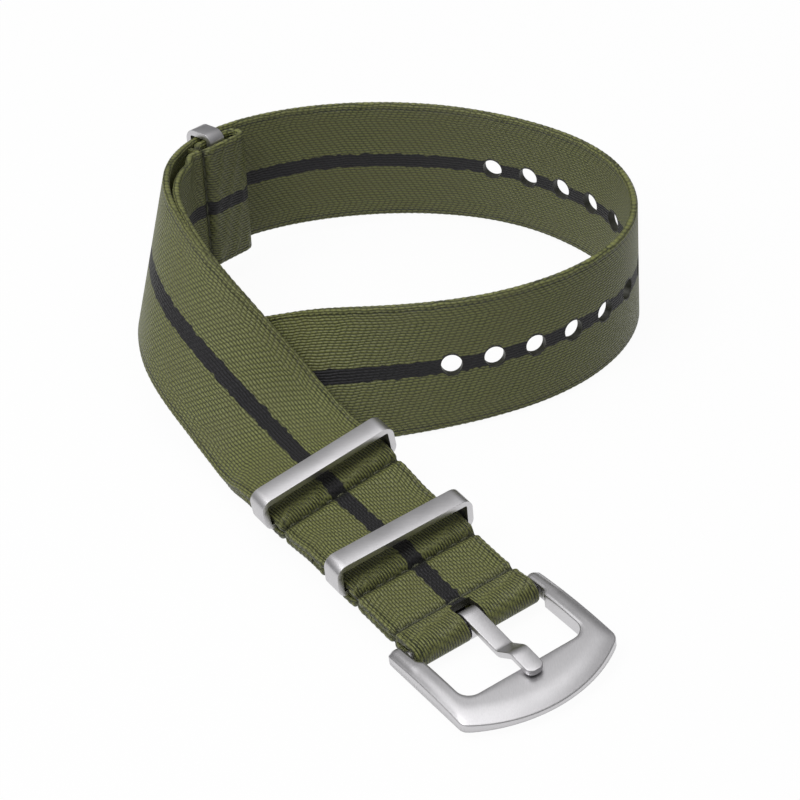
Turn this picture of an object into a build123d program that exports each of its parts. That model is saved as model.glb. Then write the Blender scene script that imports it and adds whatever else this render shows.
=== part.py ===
from build123d import *
from math import acos, atan2, cos, degrees, hypot, radians, sin
import os

# Woven nylon watch strap on its stand: the loop stands on the lower edge of its webbing, and the buckle end
# lies almost flat in front of it. The origin is on the ground, below the middle of the whole strap. +Y
# points away from the buckle end, and +Z is up.

# Webbing
strap_width = 20.0
webbing_thickness = 1.1
ply_gap = 0.1
strap_run = 266.0
flat_margin = 1.1
tip_corner = 4.0
roll_start = 30.2
roll_sections = 8
hole_diameter = 3.1
hole_pitch = 6.26
hole_count = 13
tip_to_first_hole = 34.2
tongue_slot_width = 3.2
tongue_slot_back = 2.7

# Stand of the buckle end: where the middle of its bar is, and how the end lies
bar_right = 8.97
bar_front = 41.65
bar_height = 2.96
buckle_heading = 33.41
buckle_drop = 4.31
buckle_lean = 7.57
buckle_roll = 5.8
frame_raise = 4.0

# Spring bar
tube_diameter = 1.8
tube_bore = 1.3
tube_end_gap = 0.1
plunger_diameter = 1.2
plunger_length = 2.2
pivot_diameter = 0.8
pivot_depth = 1.1
pivot_clearance = 0.05
coil_wire = 0.18
coil_diameter = 1.02
coil_turns = 22
coil_end_gap = 0.05
bar_fold_clearance = 0.06

# Buckle frame
arm_clearance = 0.35
arm_rear_width = 2.0
arm_front_width = 2.15
frame_front_reach = 19.5
front_bow = 4.3
front_bar_depth = 7.2
window_corner = 1.4
arm_overhang = 2.2
frame_underside = 1.1
frame_rear_top = 0.9
crown_before_window = 2.9
frame_crown_top = 1.32
frame_front_top = 0.3
frame_corner_round = 1.6
arm_end_round = 0.8
frame_edge = 0.15

# Tongue
tongue_width = 2.6
tongue_thickness = 1.0
tongue_bore_clearance = 0.05
tongue_flat_before_window = 4.7
tongue_flat_height = 0.35
tongue_step_before_window = 1.5
tongue_step_height = 2.3
tongue_tip_past_window = 2.5
tongue_tip_height = 1.72
tongue_edge = 0.15
tongue_tip_round = 0.7

# Keepers and end ring
keeper_side_gap = 0.2
keeper_height = 5.4
keeper_wall = 0.95
keeper_band = 2.9
keeper_corner = 1.7
keeper_inner_corner = 0.3
keeper_edge = 0.12
keeper_clearance = 0.25
first_keeper = 16.3
keeper_pitch = 18.0
tunnel_rise = 0.9
tunnel_row_reach = 3.6
tunnel_ease = 0.35

# Flap strap and its folded end
buckle_row = 4.0
return_ply_end = 23.0
flap_butt_gap = 0.4
flap_ring_place = 108.7
flap_lift_place = 80.0
flap_lift_end = 96.0
flap_lift = 1.4
flap_slack = 0.1
flap_slack_run = 5.0
ring_outer_clearance = 0.25
fold_overrun = 5.3
fold_tail = 1.0
flap_join = 1.9
flap_join_lap = 0.05
flap_sections = 24

# Stitching
thread_diameter = 0.36
stitch_pitch = 2.0
stitch_edge = 0.9

# The free webbing, from the end of its flat part to its tip. A row gives a place as a share of the free
# webbing, the degrees it bends there and the degrees it twists there in a tenth of the free webbing, and
# how far its bend lines lean from square, as a slope.
curl_shares = [
    (0.00, 0, 0, 0.0),
    (0.04, -59, -48, -0.4),
    (0.08, 19, -42, -0.7),
    (0.13, 29, -19, -0.8),
    (0.18, 44, -37, -0.7),
    (0.23, 44, -24, -0.45),
    (0.29, 54, -11, -0.1),
    (0.35, 43, 3, 0.0),
    (0.42, 26, 6, 0.0),
    (0.50, 28, 5, 0.0),
    (0.57, 33, -5, 0.0),
    (0.63, 54, 4, 0.0),
    (0.69, 69, -1, 0.0),
    (0.75, 47, 8, 0.0),
    (0.81, 35, 8, 0.0),
    (0.88, 20, 21, 0.0),
    (0.94, -3, 57, 0.0),
    (1.00, 24, 1, 0.0),
]
curl_tenth = 0.1
path_steps = 266
loft_sections = 84

# Sizes worked out from those above
half_width = strap_width / 2
ply_pitch = webbing_thickness + ply_gap
last_keeper = first_keeper + keeper_pitch
flat_run = last_keeper + tunnel_row_reach + flat_margin
free_run = strap_run - flat_run
step_length = strap_run / path_steps
loft_step = free_run / loft_sections
bar_drop = ply_pitch / 2
roll_end = return_ply_end + flap_butt_gap
tube_radius = tube_diameter / 2
fold_radius = tube_radius + bar_fold_clearance + webbing_thickness / 2
tunnel_flat = keeper_band / 2 + tunnel_ease
tunnel_opening = keeper_wall + 2 * keeper_clearance
tunnel_dip = tunnel_opening - ply_gap - tunnel_rise


def curl_at(distance, column):
    """A column of curl_shares at a distance from the bar."""
    share = (distance - flat_run) / free_run
    before = curl_shares[0]
    for row in curl_shares:
        if share < row[0]:
            mix = (share - before[0]) / (row[0] - before[0])
            return before[column] + mix * (row[column] - before[column])
        before = row
    return before[column]


def walk_path():
    """Stations a step apart along the webbing's middle line: place, toward the buckle, outward and up."""
    heading = radians(buckle_heading)
    drop = radians(buckle_drop)
    toward = Vector(sin(heading) * cos(drop), -cos(heading) * cos(drop), -sin(drop))
    up = Vector(cos(heading), sin(heading), 0).rotate(Axis((0, 0, 0), toward), buckle_lean)
    place = Vector(bar_right, -bar_front, bar_height)
    stations = [(place, toward, toward.cross(up), up)]
    for step in range(path_steps):
        middle = (step + 1 / 2) * step_length
        bend = 0.0
        twist = 0.0
        if middle > flat_run:
            bend = curl_at(middle, 1) * step_length / (curl_tenth * free_run)
            twist = curl_at(middle, 2) * step_length / (curl_tenth * free_run)
        turn = hypot(bend, twist)
        onward = toward
        if turn > 0:
            turn_axis = Axis((0, 0, 0), up * bend + toward * twist)
            onward = toward.rotate(turn_axis, -turn)
            up = up.rotate(turn_axis, -turn)
        place = place - (toward + onward) * (step_length / 2)
        toward = onward
        stations.append((place, toward, toward.cross(up), up))
    return stations


path = walk_path()


def station(distance):
    """The place, toward, outward and up directions at a distance from the bar."""
    position = distance / step_length
    index = min(int(position), path_steps - 1)
    mix = position - index
    place, toward, outward, up = (
        a * (1 - mix) + b * mix for a, b in zip(path[index], path[index + 1])
    )
    return place, toward.normalized(), outward.normalized(), up.normalized()


def section_plane(distance, inset=0.0):
    """A plane across the webbing, X along the bend line there and Y outward, and the bend line's stretch."""
    place, toward, outward, up = station(distance)
    lean = 0.0
    if distance > flat_run:
        lean = curl_at(distance, 3)
    across = up + toward * lean
    plane = Plane(place - outward * inset, x_dir=across, z_dir=across.cross(outward))
    return plane, across.length


def side_plane(distance):
    """A plane along the webbing, X toward the buckle and Y outward."""
    place, toward, outward, up = station(distance)
    return Plane(place, x_dir=toward, z_dir=-up)


def rolled_end(share):
    """Where the buckle end would be at a share of its roll: place, toward, outward and up directions."""
    place, toward, outward, up = path[0]
    roll = radians(buckle_roll * share)
    rolled_up = up * cos(roll) - outward * sin(roll)
    rolled_outward = outward * cos(roll) + up * sin(roll)
    return place - outward * bar_drop + rolled_outward * bar_drop, toward, rolled_outward, rolled_up


def rolled_plane(share, level):
    """A plane across a ply at a share of the way from the roll's start to its end, at a level."""
    place, toward, outward, up = rolled_end(share**2 * (3 - 2 * share))
    run = roll_start + (roll_end - roll_start) * share
    return Plane(place - toward * run + outward * level, x_dir=up, z_dir=toward)


def end_plane(reach, height, roll_share):
    """A plane across the buckle end, X across the strap and Y outward, at a reach in front of the bar."""
    place, toward, outward, up = rolled_end(roll_share)
    centre = place + toward * reach + outward * height
    return Plane(centre, x_dir=up, z_dir=toward)


def tunnel_points(middle, level, rise):
    """The middle line of a ply that passes a keeper's bar, from back to front."""
    return [
        (middle - tunnel_row_reach, level),
        (middle - tunnel_flat, level + rise),
        (middle + tunnel_flat, level + rise),
        (middle + tunnel_row_reach, level),
    ]


flat_side = side_plane(0.0)
fold_place, bar_toward, bar_outward, bar_up = rolled_end(1)
fold_side = Plane(fold_place, x_dir=bar_toward, z_dir=-bar_up)
bar_centre = (0, -bar_drop)
inner_level = -ply_pitch

# Where the straight plies leave the fold round the bar, as an angle from the toward direction
row_distance = hypot(buckle_row, bar_drop)
leave_angle = 180 - degrees(atan2(bar_drop, buckle_row)) - degrees(acos(fold_radius / row_distance))
leave_x = fold_radius * cos(radians(leave_angle))
leave_y = fold_radius * sin(radians(leave_angle))

# Main strap: flat part with its two tunnels and the fold round the bar, then the free webbing to the tip. Its
# front end is rolled a little from the rest, and the upper ply turns between the two keepers.
with BuildPart() as main_strap:
    with BuildSketch(fold_side):
        with BuildLine():
            inner_ply = [(-return_ply_end, inner_level)]
            inner_ply += tunnel_points(-first_keeper, inner_level, -tunnel_dip)
            inner_ply += [(-buckle_row, inner_level), (leave_x, -leave_y - bar_drop)]
            Polyline(*inner_ply)
            CenterArc(bar_centre, fold_radius, -leave_angle, 2 * leave_angle)
            outer_ply = [(-roll_end, 0)]
            outer_ply += tunnel_points(-first_keeper, 0, tunnel_rise)
            outer_ply += [(-buckle_row, 0), (leave_x, leave_y - bar_drop)]
            Polyline(*outer_ply)
        trace(line_width=webbing_thickness)
    extrude(amount=half_width, both=True)
    with BuildSketch(flat_side):
        with BuildLine():
            rear_ply = [(-flat_run, 0)]
            rear_ply += tunnel_points(-last_keeper, 0, tunnel_rise)
            Polyline(*rear_ply, (-roll_start, 0))
        trace(line_width=webbing_thickness)
    extrude(amount=half_width, both=True)
    for count in range(roll_sections + 1):
        with BuildSketch(rolled_plane(count / roll_sections, 0)):
            Rectangle(strap_width, webbing_thickness)
    loft(ruled=True)
    for count in range(loft_sections + 1):
        distance = flat_run + count * loft_step
        plane, stretch = section_plane(distance)
        with BuildSketch(plane):
            Rectangle(strap_width * stretch, webbing_thickness)
    loft(ruled=True)
    tip_place, tip_toward, tip_outward, _ = station(strap_run)
    with BuildSketch(Plane(tip_place, x_dir=tip_toward, z_dir=tip_outward)):
        Rectangle(2 * tip_corner, strap_width + 2 * tip_corner)
        with Locations((2 * tip_corner, 0)):
            RectangleRounded(4 * tip_corner, strap_width, tip_corner, mode=Mode.SUBTRACT)
    extrude(amount=2 * webbing_thickness, both=True, mode=Mode.SUBTRACT)
    for count in range(hole_count):
        place, toward, outward, up = station(strap_run - tip_to_first_hole - count * hole_pitch)
        with BuildSketch(Plane(place, x_dir=toward, z_dir=outward)):
            Circle(hole_diameter / 2)
        extrude(amount=webbing_thickness, both=True, mode=Mode.SUBTRACT)
    with BuildSketch(fold_side):
        with Locations(bar_centre):
            slot_front = fold_radius + webbing_thickness
            with Locations(((slot_front - tongue_slot_back) / 2, 0)):
                Rectangle(slot_front + tongue_slot_back, 2 * slot_front)
    extrude(amount=tongue_slot_width / 2, both=True, mode=Mode.SUBTRACT)
main_strap.part.label = "main_strap"

# Flap strap: under the last keeper, round the inside of the left bend, and folded round the end ring's bar
ring_side = side_plane(flap_ring_place)
ring_top = webbing_thickness / 2 + ring_outer_clearance + keeper_wall
ring_bar_low = ring_top - keeper_height
ring_bar_high = ring_bar_low + keeper_wall
fold_inner_level = ring_bar_low - keeper_clearance - webbing_thickness / 2
fold_outer_level = ring_bar_high + keeper_clearance + webbing_thickness / 2
fold_turn = (fold_outer_level - fold_inner_level) / 2
fold_middle = (fold_outer_level + fold_inner_level) / 2
fold_turn_x = -(fold_overrun - fold_turn - webbing_thickness / 2)
row_inner_level = fold_middle - ply_pitch / 2
row_outer_level = fold_middle + ply_pitch / 2
flap_join_x = tunnel_row_reach + flap_join

with BuildPart() as flap_strap:
    with BuildSketch(flat_side):
        with BuildLine():
            flap_flat = [(-flat_run, inner_level)]
            flap_flat += tunnel_points(-last_keeper, inner_level, -tunnel_dip)
            flap_flat += [(-roll_start, inner_level)]
            Polyline(*flap_flat)
        trace(line_width=webbing_thickness)
    extrude(amount=half_width, both=True)
    for count in range(roll_sections + 1):
        with BuildSketch(rolled_plane(count / roll_sections, inner_level)):
            Rectangle(strap_width, webbing_thickness)
    loft(ruled=True)
    with BuildSketch(ring_side):
        with BuildLine():
            Polyline(
                (flap_join_x + flap_join_lap, row_inner_level),
                (tunnel_row_reach, row_inner_level),
                (tunnel_flat, fold_inner_level),
                (fold_turn_x, fold_inner_level),
            )
            CenterArc((fold_turn_x, fold_middle), fold_turn, -90, -180)
            Polyline(
                (fold_turn_x, fold_outer_level),
                (tunnel_flat, fold_outer_level),
                (tunnel_row_reach, row_outer_level),
                (tunnel_row_reach + fold_tail, row_outer_level),
            )
        trace(line_width=webbing_thickness)
    extrude(amount=half_width, both=True)
    for count in range(flap_sections + 1):
        distance = flat_run + (flap_lift_end - flat_run) * count / flap_sections
        slack_share = min(1, (distance - flat_run) / flap_slack_run)
        lift_share = max(0, distance - flap_lift_place) / (flap_lift_end - flap_lift_place)
        inset = ply_pitch + flap_slack * slack_share + flap_lift * lift_share**2
        plane, stretch = section_plane(distance, inset)
        with BuildSketch(plane):
            Rectangle(strap_width * stretch, webbing_thickness)
    join_centre = ring_side.from_local_coords((flap_join_x, row_inner_level, 0))
    with BuildSketch(Plane(join_centre, x_dir=-ring_side.z_dir, z_dir=ring_side.x_dir)):
        Rectangle(strap_width, webbing_thickness)
    loft(ruled=True)
flap_strap.part.label = "flap_strap"

# Buckle frame: one steel casting, domed on top, with a blind hole in each arm for the spring bar's pivots
raised = radians(frame_raise)
frame_toward = bar_toward * cos(raised) + bar_outward * sin(raised)
frame_outward = bar_outward * cos(raised) - bar_toward * sin(raised)
frame_seat = Plane(fold_place - bar_outward * bar_drop, x_dir=frame_toward, z_dir=frame_outward)
frame_side = Plane(frame_seat.origin, x_dir=frame_toward, z_dir=-bar_up)
arm_inner = half_width + arm_clearance
rear_outer = arm_inner + arm_rear_width
corner_outer = arm_inner + arm_front_width
frame_corner_reach = frame_front_reach - front_bow
window_reach = frame_front_reach - front_bar_depth
frame_crown_reach = window_reach - crown_before_window

with BuildPart() as buckle_frame:
    with BuildSketch(frame_side):
        with BuildLine():
            Line((-arm_overhang, -frame_underside), (frame_front_reach, -frame_underside))
            Line((frame_front_reach, -frame_underside), (frame_front_reach, frame_front_top))
            ThreePointArc(
                (frame_front_reach, frame_front_top),
                (frame_crown_reach, frame_crown_top),
                (-arm_overhang, frame_rear_top),
            )
            Line((-arm_overhang, frame_rear_top), (-arm_overhang, -frame_underside))
        make_face()
    extrude(amount=2 * corner_outer, both=True)
    with BuildSketch(frame_seat.offset(-frame_underside)) as frame_outline:
        with BuildLine():
            Line((-arm_overhang, -rear_outer), (frame_corner_reach, -corner_outer))
            ThreePointArc(
                (frame_corner_reach, -corner_outer),
                (frame_front_reach, 0),
                (frame_corner_reach, corner_outer),
            )
            Line((frame_corner_reach, corner_outer), (-arm_overhang, rear_outer))
            Line((-arm_overhang, rear_outer), (-arm_overhang, -rear_outer))
        make_face()
        with Locations(((window_reach - arm_overhang) / 2, 0)):
            Rectangle(window_reach + arm_overhang, 2 * arm_inner, mode=Mode.SUBTRACT)
        rear_corners, window_corners, front_corners = frame_outline.vertices().group_by(Axis.X)
        fillet(window_corners, radius=window_corner)
        fillet(front_corners, radius=frame_corner_round)
        fillet(rear_corners, radius=arm_end_round)
    extrude(amount=2 * corner_outer, mode=Mode.INTERSECT)
    top_edges = buckle_frame.faces().sort_by(Axis(frame_seat.origin, frame_seat.z_dir))[-1].edges()
    chamfer(top_edges, length=frame_edge)
    with BuildSketch(frame_side):
        Circle(pivot_diameter / 2 + pivot_clearance)
    extrude(amount=arm_inner + pivot_depth + tube_end_gap, both=True, mode=Mode.SUBTRACT)
buckle_frame.part.label = "buckle_frame"

# Tongue: an eye round the tube, a flat shank, and a step up to the tip that lies on the frame's front
tongue_flat_reach = window_reach - tongue_flat_before_window
tongue_step_reach = window_reach - tongue_step_before_window
tongue_tip_reach = window_reach + tongue_tip_past_window
tongue_eye = tube_radius + tongue_bore_clearance + tongue_thickness / 2
shank_fall = atan2(tongue_eye - tongue_flat_height, tongue_flat_reach)
with BuildPart() as buckle_tongue:
    with BuildSketch(frame_side):
        Circle(tongue_eye + tongue_thickness / 2)
        with BuildLine() as shank:
            Polyline(
                (tongue_eye * sin(shank_fall), tongue_eye * cos(shank_fall)),
                (tongue_flat_reach, tongue_flat_height),
                (tongue_step_reach, tongue_step_height),
                (tongue_tip_reach, tongue_tip_height),
            )
        trace(line_width=tongue_thickness)
        Circle(tube_radius + tongue_bore_clearance, mode=Mode.SUBTRACT)
    extrude(amount=tongue_width / 2, both=True)
    tip_face = buckle_tongue.faces().sort_by(Axis(frame_seat.origin, frame_seat.x_dir))[-1]
    tip_sides = tip_face.edges().filter_by(lambda edge: edge.length < tongue_thickness + tongue_edge)
    fillet(tip_sides, radius=tongue_tip_round)
    level_edges = buckle_tongue.edges().filter_by(lambda edge: edge.length > tongue_thickness + tongue_edge)
    chamfer(level_edges.filter_by(GeomType.LINE), length=tongue_edge)
buckle_tongue.part.label = "buckle_tongue"

# Spring bar: a tube, a plunger with a pivot at each end, and the coil that pushes them apart
tube_half = arm_inner - tube_end_gap
with BuildPart() as spring_bar_tube:
    with BuildSketch(frame_side):
        Circle(tube_radius)
        Circle(tube_bore / 2, mode=Mode.SUBTRACT)
    extrude(amount=tube_half, both=True)
spring_bar_tube.part.label = "spring_bar_tube"

plunger_back = tube_half - plunger_length


def plunger(side):
    """One plunger, its pivot in the arm's blind hole; side is 1 for the upper arm and -1 for the lower."""
    outward_end = bar_up * side
    seat = Plane(frame_seat.origin + outward_end * plunger_back, x_dir=frame_toward, z_dir=outward_end)
    with BuildPart() as piece:
        with BuildSketch(seat):
            Circle(plunger_diameter / 2)
        extrude(amount=plunger_length)
        with BuildSketch(seat):
            Circle(pivot_diameter / 2)
        extrude(amount=plunger_length + tube_end_gap + pivot_depth)
    return piece.part


plunger_upper = plunger(1)
plunger_upper.label = "spring_bar_plunger_upper"
plunger_lower = plunger(-1)
plunger_lower.label = "spring_bar_plunger_lower"

coil_length = 2 * (plunger_back - coil_end_gap) - coil_wire
coil_radius = (coil_diameter - coil_wire) / 2
coil_start = frame_seat.origin - bar_up * (coil_length / 2)
with BuildPart() as spring_bar_spring:
    with BuildLine():
        coil = Helix(
            coil_length / coil_turns, coil_length, coil_radius, center=coil_start, direction=bar_up
        )
    with BuildSketch(Plane(coil @ 0, z_dir=coil % 0)):
        Circle(coil_wire / 2)
    sweep()
spring_bar_spring.part.label = "spring_bar_spring"


keeper_width = strap_width + 2 * (keeper_side_gap + keeper_wall)


def ring_loop(plane):
    """A flat steel loop with rounded corners, centred on a plane across the webbing."""
    with BuildPart() as loop:
        with BuildSketch(plane):
            RectangleRounded(keeper_width, keeper_height, keeper_corner)
            RectangleRounded(
                keeper_width - 2 * keeper_wall,
                keeper_height - 2 * keeper_wall,
                keeper_inner_corner,
                mode=Mode.SUBTRACT,
            )
        extrude(amount=keeper_band / 2, both=True)
        rims = loop.faces().filter_by(Axis((0, 0, 0), plane.z_dir)).edges()
        chamfer(rims, length=keeper_edge)
    return loop.part


keeper_low = inner_level - tunnel_dip + webbing_thickness / 2 + keeper_clearance
keeper_front = ring_loop(end_plane(-first_keeper, keeper_low + keeper_height / 2, 1))
keeper_front.label = "keeper_front"
keeper_rear = ring_loop(end_plane(-last_keeper, keeper_low + keeper_height / 2, 0))
keeper_rear.label = "keeper_rear"
ring_place, ring_toward, ring_outward, ring_up = station(flap_ring_place)
ring_centre = ring_place + ring_outward * (ring_top - keeper_height / 2)
end_ring = ring_loop(Plane(ring_centre, x_dir=ring_up, z_dir=ring_toward))
end_ring.label = "end_ring"


def stitch_row(plane, reach, upper, lower):
    """A row of lockstitches through two plies: threads across both faces, joined through the webbing."""
    across = half_width - stitch_edge
    count = int(2 * across / stitch_pitch) + 1
    with BuildPart() as row:
        for level in (upper, lower):
            with BuildSketch(Plane(plane.from_local_coords((reach, level, 0)), z_dir=plane.z_dir)):
                Circle(thread_diameter / 2)
            extrude(amount=across, both=True)
        for index in range(count):
            place = (reach, lower, (index / (count - 1) - 0.5) * 2 * (across - thread_diameter))
            with BuildSketch(Plane(plane.from_local_coords(place), z_dir=plane.y_dir)):
                Circle(thread_diameter / 2)
            extrude(amount=upper - lower)
    return row.part


skin = webbing_thickness / 2
pair_low = inner_level - skin
rows = {
    "stitches_buckle": stitch_row(fold_side, -buckle_row, skin, pair_low),
    "stitches_keeper_front_a": stitch_row(fold_side, -first_keeper + tunnel_row_reach, skin, pair_low),
    "stitches_keeper_front_b": stitch_row(fold_side, -first_keeper - tunnel_row_reach, skin, pair_low),
    "stitches_keeper_rear_a": stitch_row(flat_side, -last_keeper + tunnel_row_reach, skin, pair_low),
    "stitches_keeper_rear_b": stitch_row(flat_side, -last_keeper - tunnel_row_reach, skin, pair_low),
    "stitches_flap": stitch_row(
        ring_side, tunnel_row_reach, row_outer_level + skin, row_inner_level - skin
    ),
}

os.makedirs("parts", exist_ok=True)
pieces = [
    main_strap.part,
    flap_strap.part,
    buckle_frame.part,
    buckle_tongue.part,
    spring_bar_tube.part,
    plunger_upper,
    plunger_lower,
    spring_bar_spring.part,
    keeper_front,
    keeper_rear,
    end_ring,
]
for piece in pieces:
    export_step(piece, f"parts/{piece.label}.step")
for name, row in rows.items():
    row.label = name
    export_step(row, f"parts/{name}.step")
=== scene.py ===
import math
import random

import bpy
import numpy as np
from mathutils import Matrix, Vector, kdtree


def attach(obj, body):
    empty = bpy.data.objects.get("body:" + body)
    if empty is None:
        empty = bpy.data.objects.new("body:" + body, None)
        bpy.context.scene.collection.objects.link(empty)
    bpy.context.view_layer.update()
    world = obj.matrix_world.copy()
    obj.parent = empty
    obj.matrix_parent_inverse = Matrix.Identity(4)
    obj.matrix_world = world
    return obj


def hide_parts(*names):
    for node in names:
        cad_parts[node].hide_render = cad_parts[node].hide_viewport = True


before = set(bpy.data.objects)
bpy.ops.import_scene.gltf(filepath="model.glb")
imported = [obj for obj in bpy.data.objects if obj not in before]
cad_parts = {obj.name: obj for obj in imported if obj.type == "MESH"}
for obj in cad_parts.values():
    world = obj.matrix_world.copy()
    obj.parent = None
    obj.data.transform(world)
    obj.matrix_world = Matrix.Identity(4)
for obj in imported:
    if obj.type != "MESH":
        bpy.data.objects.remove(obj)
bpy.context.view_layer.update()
bpy.ops.object.select_all(action="DESELECT")
mm = 0.001

# The studio: a white sweep under a broad overhead softbox, with a smaller key and a weak fill from the front
# left. The camera is a long lens at the photograph's angle, turned a little about its own line of sight.
camera_place = Vector((16.34, -333.77, 258.23)) * mm
camera_right = Vector((0.99548, -0.02330, -0.09212))
camera_up = Vector((0.08768, 0.59888, 0.79602))
camera_lens = 132.1

camera_data = bpy.data.cameras.new("camera")
camera_data.sensor_width = 36
camera_data.lens = camera_lens
camera_data.clip_start = 10 * mm
camera = bpy.data.objects.new("camera", camera_data)
bpy.context.scene.collection.objects.link(camera)
camera_back = camera_right.cross(camera_up)
camera.matrix_world = Matrix(
    (
        (camera_right.x, camera_up.x, camera_back.x, camera_place.x),
        (camera_right.y, camera_up.y, camera_back.y, camera_place.y),
        (camera_right.z, camera_up.z, camera_back.z, camera_place.z),
        (0, 0, 0, 1),
    )
)
bpy.context.scene.camera = camera
bpy.context.scene.view_settings.view_transform = "Standard"


def softbox(name, place, aim, size, energy):
    """A square area lamp at a place, facing another."""
    data = bpy.data.lights.new(name, "AREA")
    data.size = size
    data.energy = energy
    lamp = bpy.data.objects.new(name, data)
    bpy.context.scene.collection.objects.link(lamp)
    lamp.location = place
    lamp.rotation_euler = (Vector(aim) - Vector(place)).to_track_quat("-Z", "Y").to_euler()


softbox("overhead", (-0.08, 0.0, 0.55), (-0.02, 0, 0), 0.60, 1.15)
softbox("key", (-0.25, -0.19, 0.54), (0, 0, 0), 0.28, 0.95)
softbox("front_fill", (-0.50, -0.25, 0.35), (0, 0, 0), 0.55, 0.35)


def place_nodes(tree, kind, **values):
    """A shader node with its settings and input values; an input is set by name or by number after an i."""
    made = tree.nodes.new(kind)
    for key, value in values.items():
        if key in made.inputs:
            socket = made.inputs[key]
        elif key[0] == "i" and key[1:].isdigit():
            socket = made.inputs[int(key[1:])]
        else:
            setattr(made, key, value)
            continue
        if isinstance(value, bpy.types.NodeSocket):
            tree.links.new(value, socket)
        else:
            socket.default_value = value
    return made


def maths(tree, operation, first, second=0.0, third=0.0):
    """A Math node's result."""
    return place_nodes(tree, "ShaderNodeMath", operation=operation, i0=first, i1=second, i2=third).outputs[0]


world = bpy.data.worlds.new("studio")
bpy.context.scene.world = world
world.use_nodes = True
tree = world.node_tree
tree.nodes.clear()
direction = place_nodes(tree, "ShaderNodeTexCoord")
height = place_nodes(tree, "ShaderNodeSeparateXYZ", Vector=direction.outputs["Generated"]).outputs["Z"]
sky = place_nodes(tree, "ShaderNodeMapRange", i0=height, i1=0.0, i2=1.0, i3=0.15, i4=0.70).outputs[0]
ray = place_nodes(tree, "ShaderNodeLightPath")
studio_light = place_nodes(tree, "ShaderNodeBackground", Strength=sky)
white_backdrop = place_nodes(tree, "ShaderNodeBackground", Strength=1.0)
mixed = place_nodes(
    tree,
    "ShaderNodeMixShader",
    i0=ray.outputs["Is Camera Ray"],
    i1=studio_light.outputs[0],
    i2=white_backdrop.outputs[0],
)
place_nodes(tree, "ShaderNodeOutputWorld", Surface=mixed.outputs[0])

sweep_size = 4.0
sweep_drop = 0.05 * mm
floor_material = bpy.data.materials.new("white_sweep")
floor_material.use_nodes = True
tree = floor_material.node_tree
tree.nodes.clear()
ray = place_nodes(tree, "ShaderNodeLightPath")
seen = maths(tree, "MAXIMUM", ray.outputs["Is Camera Ray"], ray.outputs["Is Transmission Ray"])
seen = maths(tree, "MAXIMUM", seen, ray.outputs["Is Glossy Ray"])
seen = maths(tree, "MULTIPLY", seen, 0.90)
paper = place_nodes(tree, "ShaderNodeBsdfDiffuse", Color=(0.42, 0.42, 0.42, 1))
glow = place_nodes(tree, "ShaderNodeEmission", Color=(1, 1, 1, 1), Strength=1.06)
sweep_mix = place_nodes(tree, "ShaderNodeMixShader", i0=seen, i1=paper.outputs[0], i2=glow.outputs[0])
place_nodes(tree, "ShaderNodeOutputMaterial", Surface=sweep_mix.outputs[0])
bpy.ops.mesh.primitive_plane_add(size=sweep_size, location=(0, 0, -sweep_drop))
sweep = bpy.context.object
sweep.name = "sweep"
sweep.data.materials.append(floor_material)

# The line that the long strap follows: flat behind the buckle, then twisting up onto its edge and round as a
# loop, with the tail behind the flat part. Its curl is given at shares of the free run: the bend and the
# twist, in tens of degrees per run, and the lean of the line that it bends about.
strap_width = 20.0 * mm
webbing_thickness = 1.1 * mm
ply_gap = 0.1 * mm
strap_run = 266.0 * mm
first_keeper = 16.3 * mm
keeper_pitch = 18.0 * mm
tunnel_row_reach = 3.6 * mm
flat_margin = 1.1 * mm
bar_place = Vector((8.97, -41.65, 2.96)) * mm
buckle_heading = math.radians(33.41)
buckle_drop = math.radians(4.31)
buckle_lean = math.radians(7.57)
buckle_roll = math.radians(5.8)
roll_start = 30.2 * mm
roll_end = 23.4 * mm
curl_shares = [
    (0.00, 0, 0, 0.0),
    (0.04, -59, -48, -0.4),
    (0.08, 19, -42, -0.7),
    (0.13, 29, -19, -0.8),
    (0.18, 44, -37, -0.7),
    (0.23, 44, -24, -0.45),
    (0.29, 54, -11, -0.1),
    (0.35, 43, 3, 0.0),
    (0.42, 26, 6, 0.0),
    (0.50, 28, 5, 0.0),
    (0.57, 33, -5, 0.0),
    (0.63, 54, 4, 0.0),
    (0.69, 69, -1, 0.0),
    (0.75, 47, 8, 0.0),
    (0.81, 35, 8, 0.0),
    (0.88, 20, 21, 0.0),
    (0.94, -3, 57, 0.0),
    (1.00, 24, 1, 0.0),
]
path_steps = 266

half_width = strap_width / 2
ply_pitch = webbing_thickness + ply_gap
last_keeper = first_keeper + keeper_pitch
flat_run = last_keeper + tunnel_row_reach + flat_margin
free_run = strap_run - flat_run
step_length = strap_run / path_steps
curl_places = [row[0] for row in curl_shares]


def curl_at(distance, column):
    """A column of curl_shares at a distance from the bar."""
    values = [row[column] for row in curl_shares]
    return float(np.interp((distance - flat_run) / free_run, curl_places, values))


toward = Vector(
    (
        math.sin(buckle_heading) * math.cos(buckle_drop),
        -math.cos(buckle_heading) * math.cos(buckle_drop),
        -math.sin(buckle_drop),
    )
)
level_up = Vector((math.cos(buckle_heading), math.sin(buckle_heading), 0))
up = Matrix.Rotation(buckle_lean, 3, toward) @ level_up
place = bar_place.copy()
path = [(place, toward, toward.cross(up), up)]
for step in range(path_steps):
    middle = (step + 1 / 2) * step_length
    onward = toward
    if middle > flat_run:
        bend = math.radians(curl_at(middle, 1)) * 10 * step_length / free_run
        twist = math.radians(curl_at(middle, 2)) * 10 * step_length / free_run
        turn_axis = up * bend + toward * twist
        turn = Matrix.Rotation(-turn_axis.length, 3, turn_axis)
        onward = turn @ toward
        up = turn @ up
    place = place - (toward + onward) * (step_length / 2)
    toward = onward
    path.append((place, toward, toward.cross(up), up))


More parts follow.
